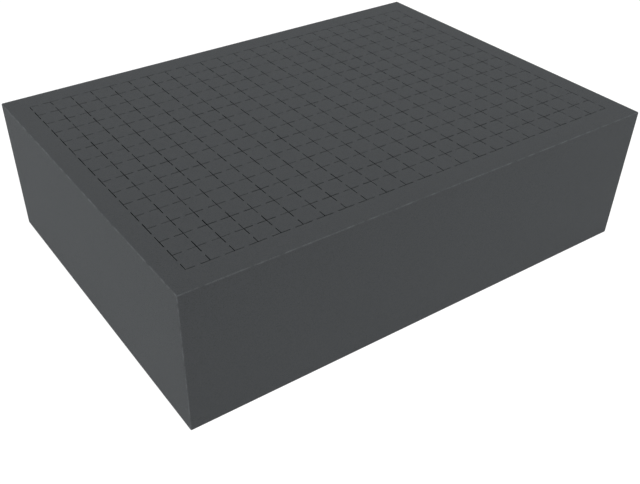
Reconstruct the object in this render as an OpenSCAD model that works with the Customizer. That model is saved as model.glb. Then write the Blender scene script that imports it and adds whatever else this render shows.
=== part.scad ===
// Foam block with a pluck-out grid. The block stands on its base at Z 0, centred on the origin,
// with its long side along X. Cross-shaped slits run down from the top at every crossing of a
// square grid. Between two slits in line a short bridge of uncut foam holds the columns together,
// and below the slits a solid floor carries them all, so a column comes out by tearing its bridges.

/* [Block] */
// Length of the block
block_l = 360; // [200:1:600]
// Width of the block
block_w = 260; // [150:1:400]
// Height of the block
block_h = 100; // [40:1:200]
// Radius of the eased outer edges
edge_r = 0.8; // [0.2:0.1:3]

/* [Grid] */
// Spacing of the grid lines, which is the side of one foam column
cell = 15.04; // [12:0.01:40]
// Least width of the solid rim round the grid
rim_min = 14; // [8:0.5:40]
// Thickness of the solid floor under the slits
floor_t = 10; // [3:0.5:30]

/* [Slits] */
// Length of the uncut bridge between two slits in line
bridge_l = 3.2; // [1:0.1:6]
// Width of a slit where its arms cross, from where each arm narrows to a point
slit_w = 0.8; // [0.3:0.1:1.5]

/* [Hidden] */

// Segments of a full circle of edge_r
edge_fn = 16;
// How far the cutting tool reaches past the top face
cut_over = 1;

// Whole cells that fit between the rims, and the size of the grid that they make
cells_x = floor((block_l - 2 * rim_min) / cell);
cells_y = floor((block_w - 2 * rim_min) / cell);
grid_l = cells_x * cell;
grid_w = cells_y * cell;
// Reach of one arm of a slit from its crossing
arm_l = (cell - bridge_l) / 2;

// Direction of arm 0, 1, 2 or 3: +X, +Y, -X or -Y
function way(arm) = [cos(90 * arm), sin(90 * arm)];

// Which of the four arms the slit at crossing i, j has: none points out of the grid into the rim
function arms_at(i, j) = [i < cells_x, j < cells_y, i > 0, j > 0];

// Outline of a slit, one arm after the other: the arm's tip, or a flat back where one arm is left
// out, and then the corner between this arm and the next
function slit_outline(arms) = [
    for (k = [0:3])
        let (this = arms[k], next = arms[(k + 1) % 4], last = arms[(k + 3) % 4])
            each [
                if (this) arm_l * way(k),
                if (!this && next && last) slit_w / 2 * way(k),
                if (this == next) slit_w / 2 * (way(k) + way(k + 1))
            ]
];

// Every slit of the grid, seen from above
module slit_grid() {
    for (i = [0:cells_x], j = [0:cells_y])
        translate([i * cell - grid_l / 2, j * cell - grid_w / 2])
            polygon(slit_outline(arms_at(i, j)));
}

// Rectangle with its four corners eased, centred
module eased_rectangle(x, y) {
    square([x - 2 * edge_r, y], center = true);
    square([x, y - 2 * edge_r], center = true);
    for (side_x = [-1, 1], side_y = [-1, 1])
        translate([side_x * (x / 2 - edge_r), side_y * (y / 2 - edge_r)])
            circle(edge_r, $fn = edge_fn);
}

// Box standing on Z 0 with all twelve edges eased: its three outlines, each run right through
module eased_box(l, w, h) {
    translate([0, 0, h / 2])
        intersection() {
            linear_extrude(h, center = true)
                eased_rectangle(l, w);
            rotate([90, 0, 0])
                linear_extrude(w, center = true)
                    eased_rectangle(l, h);
            rotate([90, 0, 90])
                linear_extrude(l, center = true)
                    eased_rectangle(w, h);
        }
}

module foam_block() {
    color([0.30, 0.305, 0.31])
        difference() {
            eased_box(block_l, block_w, block_h);
            translate([0, 0, floor_t])
                linear_extrude(block_h - floor_t + cut_over)
                    slit_grid();
        }
}

foam_block();
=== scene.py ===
"""Foam block with a pluck-out grid: the finished foam, its light and its camera, in the CAD frame.

The block is one piece of dark open-cell foam. Its outside is a box with eased edges. Its top is
laid out in square tiles, one round each crossing of the grid, and a tile holds one whole slit with
its soft lips, its walls and its bottom. Geometry nodes lay the tiles, each drawn from a few that
differ a little, and join them to the outside.
"""

import itertools
import math
import random

import bmesh
import bpy
from mathutils import Matrix, Vector


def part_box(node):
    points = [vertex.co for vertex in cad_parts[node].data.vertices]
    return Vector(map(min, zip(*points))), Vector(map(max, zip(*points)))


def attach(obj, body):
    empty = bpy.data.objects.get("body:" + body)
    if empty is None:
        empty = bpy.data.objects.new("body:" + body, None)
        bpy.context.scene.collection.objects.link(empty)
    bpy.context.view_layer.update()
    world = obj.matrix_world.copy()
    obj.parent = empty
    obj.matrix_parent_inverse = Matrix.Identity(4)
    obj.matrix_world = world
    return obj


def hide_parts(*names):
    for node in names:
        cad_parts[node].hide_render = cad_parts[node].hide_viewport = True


MM = 0.001

# The grid of slits, as the CAD model has it
CELL = 15.04 * MM  # from one grid line to the next
RIM_MIN = 14 * MM  # least solid rim round the grid
FLOOR = 10 * MM  # solid foam under the slits
BRIDGE = 3.2 * MM  # uncut foam between two slits in line, from half way down each point
EDGE = 0.8 * MM  # radius of the block's eased edges

# The blade's cut, finer than the CAD model draws it
CUT_WIDTH = 0.59 * MM
CUT_POINT = 0.25 * MM  # length of the point at the end of an arm
LIP = 0.15 * MM  # radius of the soft edge where a cut meets the top
LIP_STEPS = 2
PAINTED_WALL_LIGHT = 0.3  # painted light on a cut's upper walls, as a share of the cut's painted shade
SHADE_FROM = 0.30 * MM  # depth in a cut at which painted shade starts to darken its walls
SHADE_TO = 0.43 * MM  # depth at which they are as dark as they get

# How one slit differs from the next
SEED = 1057
TILES_A_KIND = 5  # tiles to draw from, for each kind of slit
UNEVEN_WIDTH = 0.22  # most that an arm is wider or narrower, as a share
UNEVEN_REACH = 0.3 * MM  # most that an arm is longer or shorter

# The mesh
SIDE_ROWS = 5  # rows of faces up the block's sides
EASING_LINES = 3  # how many of a face's grid lines lines_across gives to each of its edges
SAME_PLACE = 0.01 * MM  # points closer than this become one
SHARP = math.radians(60)  # edges that turn by more than this keep their crease

# The foam's surface
WALL_GREY = (0.0670, 0.0708, 0.0739)  # the foam's cell walls
PORE_GREY = (0.0395, 0.0417, 0.0436)  # the open cells between them, darker partly as painted shade inside them
PORE_SIZE = 0.6 * MM
PORE_RIM = 0.04  # how far from a cell's border its pore starts, as a share of PORE_SIZE
PORE_OPEN = 0.30  # how far from the border the pore is wide open
PORE_SHARE = 0.67  # how much of PORE_GREY a pore of middle depth takes on, a deeper pore more: partly painted shade inside the open cells
PORE_DEPTH = 0.12 * MM
PORE_BUMP = 0.35  # strength of the bump
FINE_CLOUDS, BROAD_CLOUDS = 160.0, 22.0  # clouds of denser and looser foam, per metre
MOTTLE = 0.05  # how strong the clouds are
ROUGH = 0.95
BLOOM = 0.133  # the soft bloom of the walls' cut ends, seen at a slant
BLOOM_ROUGH = 0.5
BLOOM_TINT = (0.955, 1.0, 1.03)

# Painted light: a highlight painted along the block's edges, and painted shade and light down in
# the cuts
EDGE_HIGHLIGHT = "painted_edge_highlight"  # vertex attribute, 1 on the crest of the block's edges, where a highlight is painted
EDGE_HIGHLIGHT_STRENGTH = 0.65  # how much lighter the foam is painted along a sawn edge, as a painted highlight
HIGHLIGHT_CLOUDS = (0.35, 0.65)  # strength of a fine cloud where the painted edge highlight is weakest and strongest
HIGHLIGHT_LEAST, HIGHLIGHT_MOST = 0.4, 1.6  # share of the painted edge highlight's full strength there
IN_CUT = "in_cut"  # vertex attribute, 0 at the top, below 0 where light is painted on a cut's upper walls, 1 down in the slits where shade is painted
PAINTED_CUT_SHADE = 0.95  # how much darker the walls deep inside a cut are painted, as painted shade
SHADED_WALL_FROM = 0.25  # a face with more of IN_CUT than this takes the shaded copy of the foam

# Camera: where it stands and the point on the floor in the middle of its lens, in metres
CAMERA_PLACE = Vector((-0.31575, -0.43254, 0.36471))
CAMERA_AIM = Vector((-0.06066, -0.05754, 0.0))
CAMERA_ROLL = math.radians(0.045)
CAMERA_SENSOR = 36  # mm
CAMERA_LENS = 47.107  # mm
CAMERA_SHIFT = (0.0442, 0.0799)
CAMERA_CLIP = (0.01, 20)  # metres

# Studio, in metres and watts
WHITE = (1.0, 1.0, 1.0, 1.0)
AMBIENT = 0.30  # strength of the light from all round
LAMPS = (
    ("key", (-0.50, -0.87, 1.73), 22.9),
    ("low", (-0.95, -1.65, 0.62), 5.8),
    ("back", (0.95, 1.65, 0.62), 14.0),
)
LAMP_SIZE = 1.2
LAMP_AIM = Vector((0, 0, 0.05))  # the middle of the block
GROUND_SIZE = 6
GROUND_GAP = 0.1 * MM  # how far the ground lies under the block
GROUND_LIT = (0.8, 0.8, 0.8, 1.0)  # the ground, to the light
GROUND_FAINT = (0.2, 0.2, 0.2, 1.0)  # the ground, to the eye, where it takes the block's shadow
GLOW_NEAR, GLOW_FAR = 0.9, 1.0  # the light that the ground adds for the eye
GLOW_FROM, GLOW_TO = 0.6, 2.4  # how far out that light starts and ends to grow


def new_object(name, data):
    """An object of the scene that holds data."""
    made = bpy.data.objects.new(name, data)
    bpy.context.scene.collection.objects.link(made)
    return made


def object_of(name, built):
    """An object of the scene from a bmesh. built goes."""
    mesh = bpy.data.meshes.new(name)
    built.to_mesh(mesh)
    built.free()
    return new_object(name, mesh)


def turned(point, quarters):
    """A point of the plan turned about the crossing by that many quarter turns."""
    x, y = point
    for _ in range(quarters % 4):
        x, y = -y, x
    return x, y


def slit_outline(arms, grow):
    """The slit's outline, anticlockwise, with every edge moved out by grow: {name: point}.

    arms holds the half width and the reach of the arms +X, +Y, -X and -Y, and a reach of 0 means
    that there is no such arm. An arm has a right and a left shoulder and a tip between them, and
    a corner lies between two neighbours that are both there or both missing.
    """
    outline = {}
    for k in range(4):
        half, reach = arms[k]
        next_half, next_reach = arms[(k + 1) % 4]
        if reach:
            outline["right", k] = turned((reach - CUT_POINT, -half - grow), k)
            outline["tip", k] = turned((reach + grow, 0), k)
            outline["left", k] = turned((reach - CUT_POINT, half + grow), k)
        if bool(reach) == bool(next_reach):
            outline["corner", k] = turned((next_half + grow, half + grow), k)
    return outline


def uneven_arms(present, dice):
    """A slit's arms for slit_outline, each a little wider or narrower, longer or shorter."""
    arms = []
    for there in present:
        half = CUT_WIDTH / 2 * (1 + UNEVEN_WIDTH * dice.uniform(-1, 1))
        reach = (CELL - BRIDGE + CUT_POINT) / 2 + UNEVEN_REACH * dice.uniform(-1, 1)
        arms.append((half, reach if there else 0.0))
    return arms


def slit_levels(top):
    """A slit's levels from the top down: how far its outline is grown, its depth and its IN_CUT,
    which paints light and shade on its walls.
    """
    levels = []
    for step in range(LIP_STEPS + 1):
        turn = math.pi / 2 * step / LIP_STEPS
        depth = LIP * (1 - math.cos(turn))
        levels.append((LIP * (1 - math.sin(turn)), depth, -PAINTED_WALL_LIGHT * depth / LIP))
    walls = [(0.0, SHADE_FROM, -PAINTED_WALL_LIGHT), (0.0, SHADE_TO, 1.0), (0.0, top - FLOOR, 1.0)]
    return levels + walls


def lay_flat(tile, lip, arms, top):
    """Adds a tile's flat, from the outer ring of its lip, {name: vertex}, out to its square."""
    there = [reach > 0 for _, reach in arms]
    square = [tile.verts.new((*turned((CELL / 2, CELL / 2), k), top)) for k in range(4)]
    for k in range(4):
        before, after = (k + 3) % 4, (k + 1) % 4
        if there[k]:
            tile.faces.new((lip["right", k], square[before], lip["tip", k]))
            tile.faces.new((lip["tip", k], square[before], square[k]))
            tile.faces.new((lip["tip", k], square[k], lip["left", k]))
        else:
            start = lip["left", before] if there[before] else lip["corner", before]
            end = lip["right", after] if there[after] else lip["corner", k]
            tile.faces.new((start, square[before], square[k], end))
        if there[k] and there[after]:
            tile.faces.new((lip["corner", k], lip["left", k], square[k], lip["right", after]))


def slit_tile(name, arms, top):
    """A square tile of the top round one crossing: the flat, and the slit down to the floor."""
    tile = bmesh.new()
    in_cut = tile.verts.layers.float.new(IN_CUT)
    rings = []
    for grow, depth, darkness in slit_levels(top):
        outline = slit_outline(arms, grow)
        rings.append({key: tile.verts.new((*outline[key], top - depth)) for key in outline})
        for vertex in rings[-1].values():
            # how much painted shade this level of the walls takes; below 0 is painted light
            vertex[in_cut] = darkness
    lay_flat(tile, rings[0], arms, top)
    keys = list(rings[0])
    for upper, lower in itertools.pairwise(rings):
        for a, b in zip(keys, keys[1:] + keys[:1]):
            tile.faces.new((upper[a], upper[b], lower[b], lower[a]))
    tile.faces.new(list(rings[-1].values()))
    return object_of(name, tile)


def slit_tiles(top):
    """Tiles to draw from, a list for each kind: of crosses, of side slits and of corner slits."""
    dice = random.Random(SEED)
    kinds = {
        "cross_tile": (True, True, True, True),
        "side_tile": (False, True, True, True),
        "corner_tile": (False, False, True, True),
    }
    return [
        [slit_tile(name, uneven_arms(present, dice), top) for _ in range(TILES_A_KIND)]
        for name, present in kinds.items()
    ]


def eased(point, low, high):
    """A point on a box's surface moved in to its eased edges, and how near it is to their crest.

    That is 0 on the flats and 1 half way round an edge.
    """
    inner = Vector([min(max(p, a + EDGE), b - EDGE) for p, a, b in zip(point, low, high)])
    out = (point - inner).normalized()
    across = sorted(abs(part) for part in out)
    return inner + out * EDGE, min(across[1] * math.sqrt(2), 1.0)


def lines_across(low, high, between):
    """Places of a face's grid lines: EASING_LINES at each edge, and those between."""
    bend = EDGE * (1 - math.tan(math.pi / 8))
    return [low, low + bend, low + EDGE, *between, high - EDGE, high - bend, high]


def block_shell(name, low, high, tile_lines):
    """The outside of the block with all its edges eased, open on top where the tiles go."""
    rows = [low.z + (high.z - low.z) * row / SIDE_ROWS for row in range(1, SIDE_ROWS)]
    lines = [lines_across(*ends) for ends in zip(low, high, [*tile_lines, rows])]
    last = [len(line) - 1 for line in lines]
    middle = [range(EASING_LINES, end - EASING_LINES) for end in last]
    shell = bmesh.new()
    highlight_layer = shell.verts.layers.float.new(EDGE_HIGHLIGHT)
    corners = {}

    def corner(place):
        if place not in corners:
            point = Vector([line[i] for line, i in zip(lines, place)])
            point, crest = eased(point, low, high)
            corners[place] = shell.verts.new(point)
            # how near the point is to an edge's crest, where a highlight is painted
            corners[place][highlight_layer] = crest
        return corners[place]

    for axis in range(3):
        u, v = (axis + 1) % 3, (axis + 2) % 3
        for side, i, j in itertools.product((0, last[axis]), range(last[u]), range(last[v])):
            if axis == 2 and side and i in middle[u] and j in middle[v]:
                continue
            ring = []
            for du, dv in ((0, 0), (1, 0), (1, 1), (0, 1)):
                place = [0, 0, 0]
                place[axis], place[u], place[v] = side, i + du, j + dv
                ring.append(corner(tuple(place)))
            shell.faces.new(ring if side else ring[::-1])
    return object_of(name, shell)


class Tree:
    """A node tree being built: adds nodes with their values and links."""

    def __init__(self, tree):
        self.tree = tree

    def add(self, kind, settings=(), **inputs):
        """A new node. Each input is named with _ for a space, and given a value or a socket."""
        node = self.tree.nodes.new(kind)
        for name, value in dict(settings).items():
            setattr(node, name, value)
        for name, value in inputs.items():
            self.feed(node.inputs[name.replace("_", " ")], value)
        return node

    def feed(self, socket, value):
        """Links an input to the socket that value is, or else sets it to value."""
        if isinstance(value, bpy.types.NodeSocket):
            self.tree.links.new(value, socket)
        else:
            socket.default_value = value

    def maths(self, operation, *values, clamp=False):
        """The result of a Math node."""
        node = self.add("ShaderNodeMath", {"operation": operation, "use_clamp": clamp})
        for socket, value in zip(node.inputs, values):
            self.feed(socket, value)
        return node.outputs[0]

    def ramp(self, value, start, end, low, high, kind="LINEAR"):
        """What goes from low to high while value goes from start to end, and stays there."""
        node = self.add(
            "ShaderNodeMapRange",
            {"interpolation_type": kind},
            Value=value,
            From_Min=start,
            From_Max=end,
            To_Min=low,
            To_Max=high,
        )
        return node.outputs[0]


def new_group(kind, name, inputs, outputs):
    """An empty node group with named inputs and outputs, each (name, socket type, default)."""
    group = bpy.data.node_groups.new(name, kind)
    for label, socket_type, default in inputs:
        socket = group.interface.new_socket(label, in_out="INPUT", socket_type=socket_type)
        if default is not None:
            socket.default_value = default
    for label, socket_type in outputs:
        group.interface.new_socket(label, in_out="OUTPUT", socket_type=socket_type)
    return group


def crossing_nodes(tree, given):
    """The crossings as points, how many arms the slit at each one lacks, and its tile's turn."""
    length = tree.maths("MULTIPLY", given["Cells Long"], given["Cell"])
    width = tree.maths("MULTIPLY", given["Cells Wide"], given["Cell"])
    grid = tree.add(
        "GeometryNodeMeshGrid",
        Size_X=length,
        Size_Y=width,
        Vertices_X=tree.maths("ADD", given["Cells Long"], 1),
        Vertices_Y=tree.maths("ADD", given["Cells Wide"], 1),
    )

    # How far a crossing lies out along each axis: -1 or 1 on the grid's border, and else 0. The
    # share is stretched a little, so that rounding can't leave it just short of 1.
    place = tree.add("GeometryNodeInputPosition")
    axes = tree.add("ShaderNodeSeparateXYZ", Vector=place.outputs["Position"])
    sides = []
    for axis, size in (("X", length), ("Y", width)):
        share = tree.maths("DIVIDE", axes.outputs[axis], tree.maths("MULTIPLY", size, 0.5))
        sides.append(tree.maths("TRUNC", tree.maths("MULTIPLY", share, 1.001)))
    missing = tree.maths(
        "ADD", tree.maths("ABSOLUTE", sides[0]), tree.maths("ABSOLUTE", sides[1])
    )

    # A side tile is turned so that its missing arm, +X, points out of the grid, and a corner tile
    # so that both of its missing arms, +X and +Y, do
    outwards = tree.maths("ARCTAN2", sides[1], sides[0])
    at_corner = tree.maths("GREATER_THAN", missing, 1.5)
    turn = tree.maths("SUBTRACT", outwards, tree.maths("MULTIPLY", at_corner, math.pi / 4))
    rotation = tree.add("ShaderNodeCombineXYZ", Z=turn)
    return grid.outputs["Mesh"], missing, rotation.outputs["Vector"]


def tiling_group(tiles):
    """Geometry nodes that lay a tile on every crossing and join them to the block's outside.

    tiles holds one list of like tiles for each kind of slit, the kind with most arms first.
    """
    group = new_group(
        "GeometryNodeTree",
        "Lay slit tiles",
        [
            ("Shell", "NodeSocketGeometry", None),
            ("Cells Long", "NodeSocketInt", 2),
            ("Cells Wide", "NodeSocketInt", 2),
            ("Cell", "NodeSocketFloat", CELL),
            ("Seed", "NodeSocketInt", SEED),
            ("Foam", "NodeSocketMaterial", None),
            ("Cut Foam", "NodeSocketMaterial", None),
        ],
        [("Block", "NodeSocketGeometry")],
    )
    tree = Tree(group)
    given = tree.add("NodeGroupInput").outputs
    crossings, missing, rotation = crossing_nodes(tree, given)

    # The tile's number, by the node's sockets for whole numbers: 4 and 5 in and 2 out
    draw = tree.add("FunctionNodeRandomValue", {"data_type": "INT"}, Seed=given["Seed"])
    tree.feed(draw.inputs[4], 0)
    tree.feed(draw.inputs[5], TILES_A_KIND - 1)
    drawn = draw.outputs[2]

    join = tree.add("GeometryNodeJoinGeometry")
    tree.feed(join.inputs["Geometry"], given["Shell"])
    for arms_missing, like_tiles in enumerate(tiles):
        right_kind = tree.maths("COMPARE", missing, float(arms_missing), 0.5)
        for number, tile in enumerate(like_tiles):
            right_number = tree.maths("COMPARE", drawn, float(number), 0.5)
            source = tree.add(
                "GeometryNodeObjectInfo", {"transform_space": "ORIGINAL"}, Object=tile
            )
            laid = tree.add(
                "GeometryNodeInstanceOnPoints",
                Points=crossings,
                Selection=tree.maths("MULTIPLY", right_kind, right_number),
                Instance=source.outputs["Geometry"],
                Rotation=rotation,
            )
            tree.feed(join.inputs["Geometry"], laid.outputs["Instances"])
    real = tree.add("GeometryNodeRealizeInstances", Geometry=join.outputs["Geometry"])
    merged = tree.add(
        "GeometryNodeMergeByDistance", Geometry=real.outputs["Geometry"], Distance=SAME_PLACE
    )

    outside = tree.add(
        "GeometryNodeSetMaterial", Geometry=merged.outputs["Geometry"], Material=given["Foam"]
    )
    # The walls down in the cuts take a shaded copy of the foam, which renders darker
    in_cut = tree.add("GeometryNodeInputNamedAttribute", {"data_type": "FLOAT"}, Name=IN_CUT)
    walls = tree.add(
        "GeometryNodeSetMaterial",
        Geometry=outside.outputs["Geometry"],
        Selection=tree.maths("GREATER_THAN", in_cut.outputs["Attribute"], SHADED_WALL_FROM),
        Material=given["Cut Foam"],
    )
    tree.add("NodeGroupOutput", Block=walls.outputs["Geometry"])
    return group


def made_plain(source, name):
    """A new object with source's evaluated mesh and none of its modifiers. source goes."""
    graph = bpy.context.evaluated_depsgraph_get()
    mesh = bpy.data.meshes.new_from_object(source.evaluated_get(graph))
    mesh.name = name
    bpy.data.objects.remove(source)
    return new_object(name, mesh)


def foam_block(foam, cut_foam):
    """The whole block, in the space of the CAD node that it stands for."""
    low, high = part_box("foam_block")
    cells = [int((b - a - 2 * RIM_MIN) / CELL) for a, b in zip(low[:2], high[:2])]
    tile_lines = [[(i - (n + 1) / 2) * CELL for i in range(n + 2)] for n in cells]
    shell = block_shell("shell", low, high, tile_lines)
    tiles = slit_tiles(high.z)
    group = tiling_group(tiles)
    lay = shell.modifiers.new("lay_tiles", "NODES")
    lay.node_group = group
    values = {
        "Cells Long": cells[0],
        "Cells Wide": cells[1],
        "Cell": CELL,
        "Seed": SEED,
        "Foam": foam,
        "Cut Foam": cut_foam,
    }
    for item in group.interface.items_tree:
        if item.in_out == "INPUT" and item.name in values:
            lay[item.identifier] = values[item.name]
    block = made_plain(shell, "laid_block")
    for tile in itertools.chain(*tiles):
        bpy.data.objects.remove(tile)

    # The wide flat faces keep their own normals, so that only the eased edges and lips look round
    block.data.shade_smooth()
    block.data.set_sharp_from_angle(angle=SHARP)
    weigh = block.modifiers.new("weigh", "WEIGHTED_NORMAL")
    weigh.keep_sharp = True
    return made_plain(block, "dark_foam_block")


def pore_nodes(tree, given):
    """How deep a cell is cut open: 0 on its walls, and about 1 in the middle of its pore."""
    per_metre = tree.maths("DIVIDE", 1.0, given["Cell Size"])
    walls = tree.add(
        "ShaderNodeTexVoronoi",
        {"feature": "DISTANCE_TO_EDGE"},
        Vector=given["Place"],
        Scale=per_metre,
    )
    cells = tree.add(
        "ShaderNodeTexVoronoi", {"feature": "F1"}, Vector=given["Place"], Scale=per_metre
    )
    # A pore opens from its wall inwards, and one cell is cut deeper than the next
    opening = tree.ramp(walls.outputs["Distance"], PORE_RIM, PORE_OPEN, 0.0, 1.0, "SMOOTHSTEP")
    depth = tree.add("ShaderNodeSeparateColor", Color=cells.outputs["Color"]).outputs[0]
    return tree.maths("MULTIPLY", opening, tree.maths("ADD", depth, 0.5))


def lightness_nodes(tree, given):
    """How light the foam is: about 1 on the flats, more under the painted highlight along an edge,
    less down in a cut as painted shade.
    """
    # Faint cloudiness: denser and looser foam, over some millimetres and over some centimetres
    place = given["Place"]
    fine = tree.add("ShaderNodeTexNoise", Vector=place, Scale=FINE_CLOUDS, Detail=2.0)
    broad = tree.add("ShaderNodeTexNoise", Vector=place, Scale=BROAD_CLOUDS, Detail=1.0)
    cloud = tree.maths("ADD", fine.outputs["Fac"], broad.outputs["Fac"])
    swing = tree.maths("MULTIPLY", tree.maths("SUBTRACT", cloud, 1.0), given["Mottle"])

    # The highlight painted along a sawn edge comes in patches
    patches = tree.ramp(fine.outputs["Fac"], *HIGHLIGHT_CLOUDS, HIGHLIGHT_LEAST, HIGHLIGHT_MOST)
    edge_highlight = tree.maths("MULTIPLY", given["Worn"], patches)
    lighter = tree.maths("MULTIPLY_ADD", edge_highlight, EDGE_HIGHLIGHT_STRENGTH, 1.0)
    # Painted shade down in a cut, and painted light on its upper walls
    shaded = tree.maths("MULTIPLY_ADD", given["In Cut"], -PAINTED_CUT_SHADE, lighter)
    return tree.maths("MULTIPLY_ADD", swing, shaded, shaded)


def open_cell_group():
    """Shader nodes for cut open-cell foam: its colour, and how high its walls stand."""
    group = new_group(
        "ShaderNodeTree",
        "Open cell foam",
        [
            ("Place", "NodeSocketVector", None),
            ("Cell Size", "NodeSocketFloat", PORE_SIZE),
            ("Wall", "NodeSocketColor", (*WALL_GREY, 1)),
            ("Pore", "NodeSocketColor", (*PORE_GREY, 1)),
            ("Mottle", "NodeSocketFloat", MOTTLE),
            ("Worn", "NodeSocketFloat", 0.0),
            ("In Cut", "NodeSocketFloat", 0.0),
        ],
        [("Color", "NodeSocketColor"), ("Height", "NodeSocketFloat")],
    )
    tree = Tree(group)
    given = tree.add("NodeGroupInput").outputs
    pore = pore_nodes(tree, given)

    # The node's sockets for colours: 6 and 7 in and 2 out
    shade = tree.add("ShaderNodeMix", {"data_type": "RGBA"})
    tree.feed(shade.inputs[0], tree.maths("MULTIPLY", pore, PORE_SHARE, clamp=True))
    tree.feed(shade.inputs[6], given["Wall"])
    tree.feed(shade.inputs[7], given["Pore"])

    tint = tree.add("ShaderNodeVectorMath", {"operation": "SCALE"})
    tree.feed(tint.inputs[0], shade.outputs[2])
    tree.feed(tint.inputs["Scale"], lightness_nodes(tree, given))
    tree.add(
        "NodeGroupOutput", Color=tint.outputs["Vector"], Height=tree.maths("SUBTRACT", 1.0, pore)
    )
    return group


def empty_tree(owner):
    """The node tree of a material or a world, with nothing in it."""
    owner.use_nodes = True
    owner.node_tree.nodes.clear()
    return Tree(owner.node_tree)


def foam_material(name, open_cells, **finish):
    """Foam with the group of its open cells. finish holds values of the shader's own sockets."""
    material = bpy.data.materials.new(name)
    tree = empty_tree(material)
    foam = tree.add(
        "ShaderNodeGroup",
        {"node_tree": open_cells},
        Place=tree.add("ShaderNodeTexCoord").outputs["Object"],
        # the crest of the block's edges, where a highlight is painted
        Worn=tree.add("ShaderNodeAttribute", {"attribute_name": EDGE_HIGHLIGHT}).outputs["Fac"],
        In_Cut=tree.add("ShaderNodeAttribute", {"attribute_name": IN_CUT}).outputs["Fac"],
    )
    bump = tree.add(
        "ShaderNodeBump", Strength=PORE_BUMP, Distance=PORE_DEPTH, Height=foam.outputs["Height"]
    )
    shader = tree.add(
        "ShaderNodeBsdfPrincipled",
        Base_Color=foam.outputs["Color"],
        Roughness=ROUGH,
        Normal=bump.outputs["Normal"],
        Specular_IOR_Level=0.0,
        **finish,
    )
    tree.add("ShaderNodeOutputMaterial", Surface=shader.outputs["BSDF"])
    return material


def sawn_foam(open_cells):
    """The foam of the outside and of the lips: very rough, with the bloom of its cut cells."""
    return foam_material(
        "dark_sawn_foam",
        open_cells,
        Diffuse_Roughness=1.0,
        Sheen_Weight=BLOOM,
        Sheen_Roughness=BLOOM_ROUGH,
        Sheen_Tint=(*BLOOM_TINT, 1),
    )


def shaded_cut_foam(open_cells):
    """A shaded copy of the foam for the walls down in a slit: no bloom and no rough diffuse, so
    that they render darker.
    """
    return foam_material("dark_foam_in_the_cuts", open_cells, Diffuse_Roughness=0.0)


def placed(thing, place, turn):
    """Puts an object at a place, with its axes turned by a 3 x 3 matrix."""
    thing.matrix_world = Matrix.Translation(place) @ turn.to_4x4()


def facing(place, aim):
    """The turn that points an object's -Z from place to aim, with its Y up."""
    return (aim - Vector(place)).to_track_quat("-Z", "Y").to_matrix()


def camera():
    """The scene's camera, where the photograph's was."""
    data = bpy.data.cameras.new("camera")
    data.sensor_width = CAMERA_SENSOR
    data.lens = CAMERA_LENS
    data.shift_x, data.shift_y = CAMERA_SHIFT
    data.clip_start, data.clip_end = CAMERA_CLIP
    eye = new_object("camera", data)
    turn = facing(CAMERA_PLACE, CAMERA_AIM) @ Matrix.Rotation(CAMERA_ROLL, 3, "Z")
    placed(eye, CAMERA_PLACE, turn)
    bpy.context.scene.camera = eye


def soft_lamp(name, place, watts):
    """A square lamp that shines at the block's middle."""
    data = bpy.data.lights.new(name, "AREA")
    data.shape = "SQUARE"
    data.size = LAMP_SIZE
    data.energy = watts
    placed(new_object(name, data), place, facing(place, LAMP_AIM))


def white_to_the_eye(tree, lit, shown):
    """A shader that is lit to the light, and shown to the camera, in mirrors and through glass."""
    path = tree.add("ShaderNodeLightPath").outputs
    eye = tree.maths("MAXIMUM", path["Is Camera Ray"], path["Is Glossy Ray"])
    eye = tree.maths("MAXIMUM", eye, path["Is Transmission Ray"])
    mix = tree.add("ShaderNodeMixShader", Fac=eye)
    tree.feed(mix.inputs[1], lit)
    tree.feed(mix.inputs[2], shown)
    return mix.outputs[0]


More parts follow.
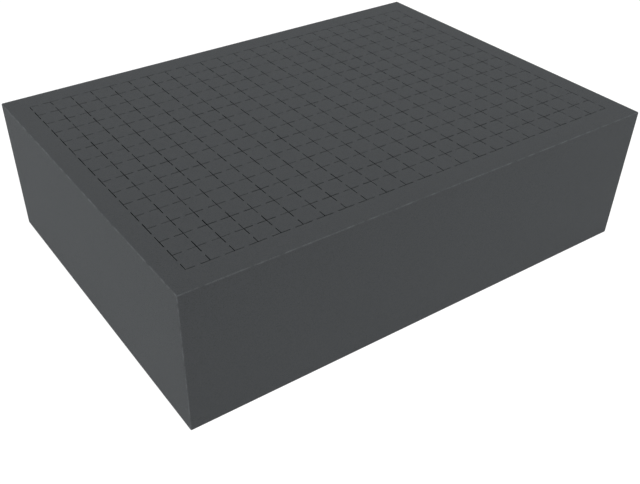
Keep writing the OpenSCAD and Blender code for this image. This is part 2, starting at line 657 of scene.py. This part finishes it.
def white_world():
    """Light from all round, on a white background."""
    world = bpy.data.worlds.new("studio")
    bpy.context.scene.world = world
    tree = empty_tree(world)
    ambient = tree.add("ShaderNodeBackground", Color=WHITE, Strength=AMBIENT)
    shown = tree.add("ShaderNodeBackground", Color=WHITE, Strength=1.0)
    surface = white_to_the_eye(tree, ambient.outputs[0], shown.outputs[0])
    tree.add("ShaderNodeOutputWorld", Surface=surface)


def pale_floor_material():
    """The material of a ground that looks white and keeps the block's shadow."""
    material = bpy.data.materials.new("pale_floor")
    tree = empty_tree(material)
    lit = tree.add("ShaderNodeBsdfDiffuse", Color=GROUND_LIT)
    faint = tree.add("ShaderNodeBsdfDiffuse", Color=GROUND_FAINT)
    # The glow leaves room for the block's shadow, and grows outwards until the ground is white
    away = tree.add("ShaderNodeVectorMath", {"operation": "LENGTH"})
    tree.feed(away.inputs[0], tree.add("ShaderNodeTexCoord").outputs["Object"])
    growing = tree.ramp(away.outputs["Value"], GLOW_FROM, GLOW_TO, GLOW_NEAR, GLOW_FAR)
    glow = tree.add("ShaderNodeEmission", Color=WHITE, Strength=growing)
    both = tree.add("ShaderNodeAddShader")
    tree.feed(both.inputs[0], faint.outputs[0])
    tree.feed(both.inputs[1], glow.outputs[0])
    surface = white_to_the_eye(tree, lit.outputs[0], both.outputs[0])
    tree.add("ShaderNodeOutputMaterial", Surface=surface)
    return material


def studio():
    """Soft light all round, three wide lamps and a pale ground."""
    white_world()
    for name, place, watts in LAMPS:
        soft_lamp(name, place, watts)
    bpy.ops.mesh.primitive_plane_add(size=GROUND_SIZE, location=(0, 0, -GROUND_GAP))
    floor = bpy.context.object
    floor.name = "floor"
    floor.data.materials.append(pale_floor_material())


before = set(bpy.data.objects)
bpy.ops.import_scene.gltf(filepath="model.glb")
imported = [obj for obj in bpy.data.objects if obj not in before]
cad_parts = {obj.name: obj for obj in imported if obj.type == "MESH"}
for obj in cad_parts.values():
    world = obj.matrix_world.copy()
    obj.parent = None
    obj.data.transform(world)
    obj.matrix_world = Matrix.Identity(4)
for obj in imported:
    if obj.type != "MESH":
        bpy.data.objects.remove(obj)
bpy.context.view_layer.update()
bpy.context.scene.view_settings.view_transform = "Standard"
camera()
studio()

open_cells = open_cell_group()
block = foam_block(sawn_foam(open_cells), shaded_cut_foam(open_cells))
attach(block, "root")
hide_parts("foam_block")
